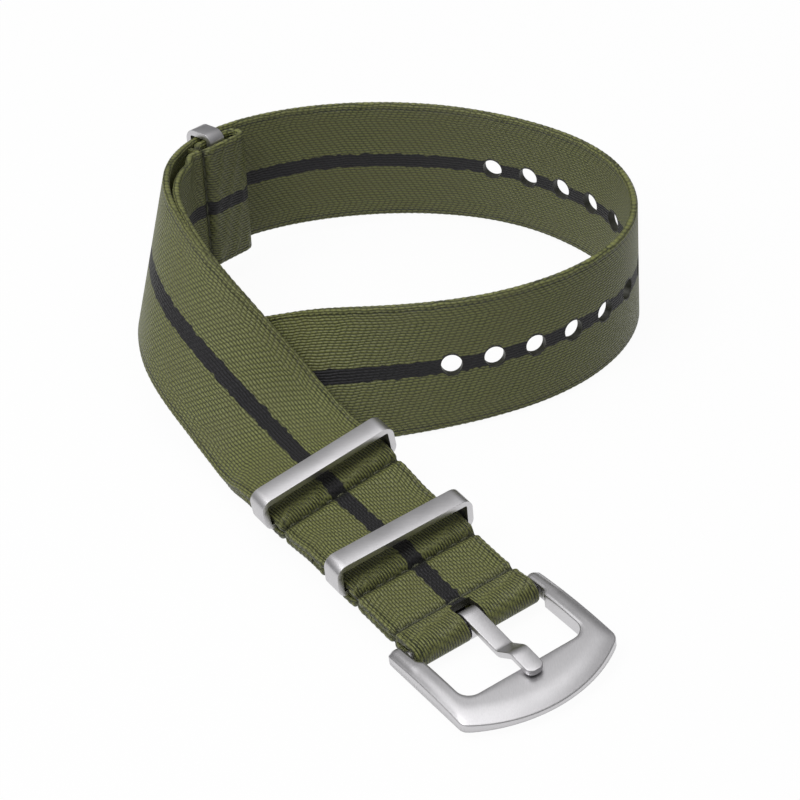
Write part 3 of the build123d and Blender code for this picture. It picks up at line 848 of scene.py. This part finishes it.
def stitch_row(name, origin, ahead, out, rise, reach, upper, lower):
    """A row of stitches across the strap, on the outer face at one level and the inner face at the other."""
    span = half_width - stitch_edge
    count = int(2 * span / stitch_pitch)
    pitch = 2 * span / count
    made = []
    for level in (upper - thread_sink, lower + thread_sink):
        for k in range(count):
            middle = -span + (k + 1 / 2) * pitch
            bpy.ops.object.select_all(action="DESELECT")
            bpy.ops.mesh.primitive_uv_sphere_add(segments=10, ring_count=12, radius=1.0)
            stitch = bpy.context.object
            skew = 0.06 if k % 2 else -0.04
            axes = Matrix((ahead, out, rise)).transposed().to_4x4()
            spot = origin + ahead * reach + out * level + rise * middle
            stitch.matrix_world = (
                Matrix.Translation(spot)
                @ axes
                @ Matrix.Rotation(skew, 4, "Y")
                @ Matrix.Diagonal((thread_radius, thread_radius, pitch * 0.49, 1))
            )
            made.append(stitch)
    bpy.ops.object.select_all(action="DESELECT")
    for stitch in made:
        stitch.select_set(True)
    bpy.context.view_layer.objects.active = made[0]
    bpy.ops.object.join()
    row = bpy.context.object
    bpy.ops.object.transform_apply(location=True, rotation=True, scale=True)
    row.name = name
    row.data.name = name
    row.data.materials.append(thread_finish)
    return row


face = webbing_thickness / 2
row_names = ["buckle", "keeper_front_a", "keeper_front_b", "keeper_rear_a", "keeper_rear_b"]
for name, reach in zip(row_names, row_places):
    out, rise = rolled_end(reach)
    row = stitch_row(
        "thread_" + name, seat + out * bar_drop, bar_toward, out, rise, reach, face, -ply_pitch - face
    )
    dress(row, "strap", "thread", "stitches_" + name)
ring_place, ring_toward, ring_outward, ring_up = station(flap_ring_place)
row = stitch_row(
    "thread_flap",
    ring_place,
    ring_toward,
    ring_outward,
    ring_up,
    tunnel_row_reach,
    row_outer + face,
    row_inner - face,
)
dress(row, "strap", "thread", "stitches_flap")

# Keepers and end ring: bands of flat steel bent and welded into rectangles, brushed and lightly tumbled. The
# keepers' lower bars lie in the sewn tunnels, and the ring's inner bar lies in the short strap's fold.
keeper_width = 22.3 * mm
keeper_corner = 1.7 * mm
keeper_inner_corner = 0.3 * mm
keeper_edge = 0.12 * mm
keeper_band_seen = keeper_band + 0.3 * mm
corner_tolerance = 0.02 * mm


def brushed_steel(name, stretch):
    """Satin steel with fine scratches drawn out along one direction of the piece."""
    made, shader = finish(name, 0.36, Metallic=1.0)
    tree = made.node_tree
    spots = place_nodes(tree, "ShaderNodeTexCoord")
    drawn = place_nodes(tree, "ShaderNodeMapping", Vector=spots.outputs["Object"])
    drawn.inputs["Rotation"].default_value = (0, 0, buckle_heading)
    drawn.inputs["Scale"].default_value = stretch
    scratches = place_nodes(
        tree, "ShaderNodeTexNoise", Vector=drawn.outputs[0], Scale=1.0, Detail=4.0, Roughness=0.65
    )
    clouds = place_nodes(tree, "ShaderNodeTexNoise", Vector=spots.outputs["Object"], Scale=180.0, Detail=2.0)
    steel = blend_colours(tree, scratches.outputs[0], (0.50, 0.492, 0.505, 1), (0.68, 0.67, 0.685, 1))
    tree.links.new(steel, shader.inputs["Base Color"])
    rough = place_nodes(tree, "ShaderNodeMapRange", i0=clouds.outputs[0], i1=0.3, i2=0.7, i3=0.31, i4=0.41)
    tree.links.new(rough.outputs[0], shader.inputs["Roughness"])
    relief = scratches.outputs[0]
    bump = place_nodes(tree, "ShaderNodeBump", Strength=0.15, Distance=0.02 * mm, Height=relief)
    tree.links.new(bump.outputs[0], shader.inputs["Normal"])
    return made


band_steel = brushed_steel("band_steel", (600, 9000, 9000))


def band_loop(name, band_width, centre, side, through, out):
    """A rectangular loop of flat steel: side along its long bars, through along the webbing, and out."""
    bpy.ops.object.select_all(action="DESELECT")
    bpy.ops.mesh.primitive_cube_add(size=1.0)
    loop = bpy.context.object
    loop.scale = (keeper_width, band_width, keeper_height)
    bpy.ops.object.transform_apply(location=False, rotation=False, scale=True)
    bpy.ops.object.mode_set(mode="EDIT")
    bpy.ops.mesh.select_mode(type="FACE")
    bpy.ops.mesh.select_all(action="DESELECT")
    bpy.ops.object.mode_set(mode="OBJECT")
    for polygon in loop.data.polygons:
        polygon.select = abs(polygon.normal.y) > 0.9
    bpy.ops.object.mode_set(mode="EDIT")
    bpy.ops.mesh.inset(thickness=keeper_wall, use_individual=True)
    bpy.ops.mesh.bridge_edge_loops()
    bpy.ops.object.mode_set(mode="OBJECT")
    for corner_x, corner_z, round_off in (
        (keeper_width / 2, keeper_height / 2, keeper_corner),
        (keeper_width / 2 - keeper_wall, keeper_height / 2 - keeper_wall, keeper_inner_corner),
    ):
        corners = []
        for edge in loop.data.edges:
            a, b = (loop.data.vertices[k].co for k in edge.vertices)
            off_corner = max(abs(abs(a.x) - corner_x), abs(abs(a.z) - corner_z))
            corners.append(abs(a.y - b.y) > band_width / 2 and off_corner < corner_tolerance)
        bpy.ops.object.mode_set(mode="EDIT")
        bpy.ops.mesh.select_mode(type="EDGE")
        bpy.ops.mesh.select_all(action="DESELECT")
        bpy.ops.object.mode_set(mode="OBJECT")
        for edge, chosen in zip(loop.data.edges, corners):
            edge.select = chosen
        bpy.ops.object.mode_set(mode="EDIT")
        bpy.ops.mesh.bevel(offset=round_off, segments=8, affect="EDGES")
        bpy.ops.object.mode_set(mode="OBJECT")
    rims = loop.modifiers.new("rims", "BEVEL")
    rims.width = keeper_edge
    rims.segments = 3
    rims.limit_method = "ANGLE"
    rims.angle_limit = math.radians(60)
    bpy.ops.object.modifier_apply(modifier="rims")
    axes = Matrix((side, through, out)).transposed().to_4x4()
    loop.matrix_world = Matrix.Translation(centre) @ axes
    bpy.ops.object.transform_apply(location=True, rotation=True, scale=True)
    loop.name = name
    loop.data.name = name
    loop.data.materials.append(band_steel)
    return loop


keeper_low = -ply_pitch - tunnel_dip + webbing_thickness / 2 + keeper_clearance
for name, reach in (("keeper_front", first_keeper), ("keeper_rear", last_keeper)):
    out, rise = rolled_end(-reach)
    centre = seat - bar_toward * reach + out * (bar_drop + keeper_low + keeper_height / 2)
    loop = band_loop("band_" + name, keeper_band_seen, centre, rise, -bar_toward, out)
    dress(loop, name, "brushed_steel", name)
centre = ring_place + ring_outward * (ring_top - keeper_height / 2)
loop = band_loop("band_end_ring", keeper_band, centre, ring_up, -ring_toward, ring_outward)
dress(loop, "end_ring", "brushed_steel", "end_ring")

# Buckle frame: one steel casting, bead blasted and brushed, with a broad domed front and two arms that are
# drilled for the spring bar. Its skin follows the frame from one arm's end round the front to the other's.
frame_inner_width = 20.7 * mm
frame_corner_width = 25.0 * mm
frame_rear_width = 24.7 * mm
frame_corner_reach = 15.2 * mm
frame_front_reach = 19.5 * mm
window_reach = 12.3 * mm
window_corner = 2.1 * mm
window_waist = 19.4 * mm
waist_start = 2.3 * mm
waist_end = 3.1 * mm
arm_overhang = 2.2 * mm
frame_underside = 1.1 * mm
frame_rear_top = 0.9 * mm
frame_crown_reach = 9.4 * mm
frame_crown_top = 1.32 * mm
frame_front_top = 0.3 * mm
frame_corner_round = 1.6 * mm
edge_round_top = 0.22 * mm
edge_fall = 0.08 * mm
wall_fall = 0.75 * mm
rim_fall = 0.06 * mm
foot_bevel = 0.22 * mm
dome_reach = 3.2 * mm
dome_share = 0.62
dome_fall = 0.46 * mm
frame_round_steps = 3
frame_top_steps = 8
frame_dome_steps = 7
frame_raise = math.radians(4.0)
frame_toward = bar_toward * math.cos(frame_raise) + rolled_outward * math.sin(frame_raise)
frame_outward = rolled_outward * math.cos(frame_raise) - bar_toward * math.sin(frame_raise)


def arc_through(first, middle, last, count):
    """Points on the circle through three points, from the first to the last."""
    ax, ay = first
    bx, by = middle
    cx, cy = last
    d = 2 * (ax * (by - cy) + bx * (cy - ay) + cx * (ay - by))
    ux = ((ax**2 + ay**2) * (by - cy) + (bx**2 + by**2) * (cy - ay) + (cx**2 + cy**2) * (ay - by)) / d
    uy = ((ax**2 + ay**2) * (cx - bx) + (bx**2 + by**2) * (ax - cx) + (cx**2 + cy**2) * (bx - ax)) / d
    start = math.atan2(ay - uy, ax - ux)
    end = math.atan2(cy - uy, cx - ux)
    radius = math.hypot(ax - ux, ay - uy)
    angles = [start + (end - start) * k / count for k in range(count + 1)]
    return [(ux + radius * math.cos(angle), uy + radius * math.sin(angle)) for angle in angles]


def round_corner(before, corner, after, radius, count):
    """Points on the round that replaces a corner."""
    b, c, a = Vector(before), Vector(corner), Vector(after)
    u, v = (b - c).normalized(), (a - c).normalized()
    half_angle = u.angle(v) / 2
    back = radius / math.tan(half_angle)
    centre = c + (u + v).normalized() * (radius / math.sin(half_angle))
    start, end = c + u * back - centre, c + v * back - centre
    turn = start.angle_signed(end)
    made = []
    for k in range(count + 1):
        angle = -turn * k / count
        x = start.x * math.cos(angle) - start.y * math.sin(angle)
        y = start.x * math.sin(angle) + start.y * math.cos(angle)
        made.append((centre.x + x, centre.y + y))
    return made


def walked_lengths(line):
    """The length walked along a line at each of its points."""
    return np.concatenate(([0], np.cumsum(np.linalg.norm(np.diff(line, axis=0), axis=1))))


arm_steps = 30
front_steps = 56
corner_steps = 8
crown_steps = 40
front_arc = arc_through(
    (frame_corner_reach, -frame_corner_width / 2),
    (frame_front_reach, 0),
    (frame_corner_reach, frame_corner_width / 2),
    front_steps,
)
corner_points = round_corner(
    (-arm_overhang, -frame_rear_width / 2),
    (frame_corner_reach, -frame_corner_width / 2),
    front_arc[4],
    frame_corner_round,
    corner_steps,
)
corner_back = corner_points[0]
outer = []
for k in range(arm_steps):
    share = k / arm_steps
    outer.append(
        (
            -arm_overhang + (corner_back[0] + arm_overhang) * share,
            -(frame_rear_width / 2) + (corner_back[1] + frame_rear_width / 2) * share,
        )
    )
outer += corner_points
lower_half = outer + [p for p in front_arc if abs(p[1]) < abs(corner_points[-1][1]) and p[1] < -1e-6]
waist_point = (waist_end, -window_waist / 2)
window_edge = (window_reach, -window_waist / 2)
arm_end = (-arm_overhang, -frame_inner_width / 2)
window_points = [arm_end, (waist_start, -frame_inner_width / 2), waist_point]
before_corner = len(window_points)
window_points += round_corner(waist_point, window_edge, (window_reach, 0), window_corner, corner_steps)
outer_line = np.array(lower_half + [(frame_front_reach, 0)])
inner_line = np.array(window_points + [(window_reach, 0)])
lengths, inner_lengths = walked_lengths(outer_line), walked_lengths(inner_line)
outer_corner = lengths[arm_steps + corner_steps // 2]
inner_corner = inner_lengths[before_corner + corner_steps // 2]
stations_per_half = 72


def at_share(line, walked, corner, share):
    """The point at a share of a line: half the shares lie before its corner and half after it."""
    reach = float(np.interp(share, (0, 1 / 2, 1), (0, corner, walked[-1])))
    return [float(np.interp(reach, walked, line[:, axis])) for axis in range(2)]


frame_pairs = []
for k in range(stations_per_half + 1):
    share = k / stations_per_half
    inner_point = at_share(inner_line, inner_lengths, inner_corner, share)
    frame_pairs.append((inner_point, at_share(outer_line, lengths, outer_corner, share)))
frame_pairs += [((i[0], -i[1]), (o[0], -o[1])) for i, o in reversed(frame_pairs[:-1])]

crown_points = arc_through(
    (-arm_overhang, frame_rear_top),
    (frame_crown_reach, frame_crown_top),
    (frame_front_reach, frame_front_top),
    crown_steps,
)
crown_x = [p[0] for p in crown_points]
crown_z = [p[1] for p in crown_points]


def crown(x):
    """Height of the frame's top above the bar's middle at a reach in front of it."""
    return float(np.interp(x, crown_x, crown_z))


def frame_ring(inner_point, outer_point, shrink):
    """One section of the frame: up its inner wall, over its top, down its outer wall and back below."""
    i, o = Vector(inner_point), Vector(outer_point)
    width = (o - i).length
    inward = (i - o).normalized()
    ring = []
    dome = min(dome_reach, width * dome_share)
    profile = [(0.0, "low", 0.0), (0.0, "top", wall_fall)]
    profile += [(0.0, "top", edge_round_top + edge_fall)]
    for k in range(frame_round_steps + 1):
        angle = math.pi / 2 * k / frame_round_steps
        fall = edge_fall + edge_round_top * (1 - math.sin(angle))
        profile.append((edge_round_top * (1 - math.cos(angle)), "top", fall))
    for k in range(1, frame_top_steps):
        share = k / frame_top_steps
        distance = edge_round_top + (width - edge_round_top - dome) * share
        profile.append((distance, "top", edge_fall * max(0.0, 1 - share * 3) ** 2))
    for k in range(frame_dome_steps + 1):
        share = k / frame_dome_steps
        profile.append((width - dome + (dome - edge_round_top) * share, "top", dome_fall * share**2))
    for k in range(1, frame_round_steps + 1):
        angle = math.pi / 2 * k / frame_round_steps
        fall = dome_fall + edge_round_top * (1 - math.cos(angle))
        profile.append((width - edge_round_top * (1 - math.sin(angle)), "top", fall))
    profile += [(width, "top", dome_fall + edge_round_top + rim_fall), (width, "low", foot_bevel)]
    profile += [(width - foot_bevel, "low", 0.0), (foot_bevel, "low", 0.0)]
    for distance, level, fall in profile:
        spot = i - inward * distance
        top = crown(spot.x)
        if level == "top":
            height = top - fall
        else:
            height = -frame_underside + fall
        middle_height = (top - frame_underside) / 2
        height = middle_height + (height - middle_height) * shrink
        ring.append(seat + frame_toward * spot.x + rolled_up * spot.y + frame_outward * height)
    return ring


end_rounds = 7
end_round = 0.95 * mm
end_rings = []
for k in range(end_rounds):
    angle = math.pi / 2 * (k + 1 / 2) / end_rounds
    pinch = end_round * (1 - math.sin(angle))
    reach = -arm_overhang + end_round * (1 - math.cos(angle))
    inner_point = (reach, -frame_inner_width / 2 - pinch)
    outer_point = (reach, -frame_rear_width / 2 + pinch)
    end_rings.append((inner_point, outer_point, 1 - pinch / mm))
body_pairs = [(i, o) for i, o in frame_pairs if min(i[0], o[0]) > end_round - arm_overhang]
frame_rings = [frame_ring(i, o, share) for i, o, share in end_rings]
frame_rings += [frame_ring(i, o, 1.0) for i, o in body_pairs]
frame_rings += [frame_ring((i[0], -i[1]), (o[0], -o[1]), share) for i, o, share in reversed(end_rings)]
frame_piece = skin("cast_frame", frame_rings)
frame_steel = brushed_steel("frame_steel", (9000, 700, 9000))
frame_piece.data.materials.append(frame_steel)
dress(frame_piece, "buckle", "brushed_steel", "buckle_frame")

# Tongue: a strip of steel curled into an eye round the spring bar and stepped up over the webbing, with a
# rounded tip that rests on the frame's front. Its finish is the frame's.
tongue_width = 2.6 * mm
tongue_thickness = 1.0 * mm
tongue_bore_clearance = 0.05 * mm
tongue_edge = 0.14 * mm
tongue_edge_steps = 3
tongue_softness = 0.3 * mm
tip_round = 1.1 * mm
tip_narrowing = 0.75 * mm
eye_share = 0.93
tongue_line = [
    (7.6 * mm, 0.35 * mm),
    (10.8 * mm, 2.3 * mm),
    (14.8 * mm, 1.72 * mm),
]
eye_radius = tube_radius + tongue_bore_clearance + tongue_thickness / 2
eye_steps = 30
fall = math.atan2(eye_radius - tongue_line[0][1], tongue_line[0][0])
tongue_path = []
for k in range(eye_steps + 1):
    angle = math.pi / 2 - fall + 2 * math.pi * eye_share * (1 - k / eye_steps)
    tongue_path.append((eye_radius * math.cos(angle), eye_radius * math.sin(angle)))
shank = [tongue_path[-1]] + tongue_line
shank_points = smooth_line(shank, tongue_softness)
tongue_path = tongue_path[:-1] + [tuple(p) for p in shank_points]
tongue_rings = []
for k, (x, y) in enumerate(tongue_path):
    ahead_point = tongue_path[min(k + 1, len(tongue_path) - 1)]
    behind_point = tongue_path[max(k - 1, 0)]
    run = Vector((ahead_point[0] - behind_point[0], ahead_point[1] - behind_point[1])).normalized()
    normal = Vector((-run.y, run.x))
    left = tongue_path[-1][0] - x
    half = tongue_width / 2
    if left < tip_round and k > eye_steps:
        half -= tip_narrowing * (1 - math.sqrt(max(0.0, 1 - ((tip_round - left) / tip_round) ** 2)))
    ring = []
    for across_sign, up_sign in ((-1, 1), (1, 1), (1, -1), (-1, -1)):
        for step in range(tongue_edge_steps + 1):
            angle = math.pi / 2 * step / tongue_edge_steps
            inset_a = tongue_edge * (1 - (math.sin(angle) if across_sign == up_sign else math.cos(angle)))
            inset_b = tongue_edge * (1 - (math.cos(angle) if across_sign == up_sign else math.sin(angle)))
            w = across_sign * (half - inset_a)
            h = up_sign * (tongue_thickness / 2 - inset_b)
            spot = seat + frame_toward * (x + normal.x * h) + frame_outward * (y + normal.y * h)
            ring.append(spot + rolled_up * w)
    tongue_rings.append(ring)
tongue_piece = skin("stepped_tongue", tongue_rings)
tongue_piece.data.materials.append(brushed_steel("tongue_steel", (9000, 700, 9000)))
dress(tongue_piece, "tongue", "brushed_steel", "buckle_tongue")

# Spring bar: bright drawn steel, hidden in the fold of the webbing. Its four parts keep their own shapes.
drawn_steel = brushed_steel("drawn_steel", (3000, 3000, 3000))
for name in ("spring_bar_tube", "spring_bar_spring", "spring_bar_plunger_upper", "spring_bar_plunger_lower"):
    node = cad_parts[name]
    node.data.materials.clear()
    node.data.materials.append(drawn_steel)
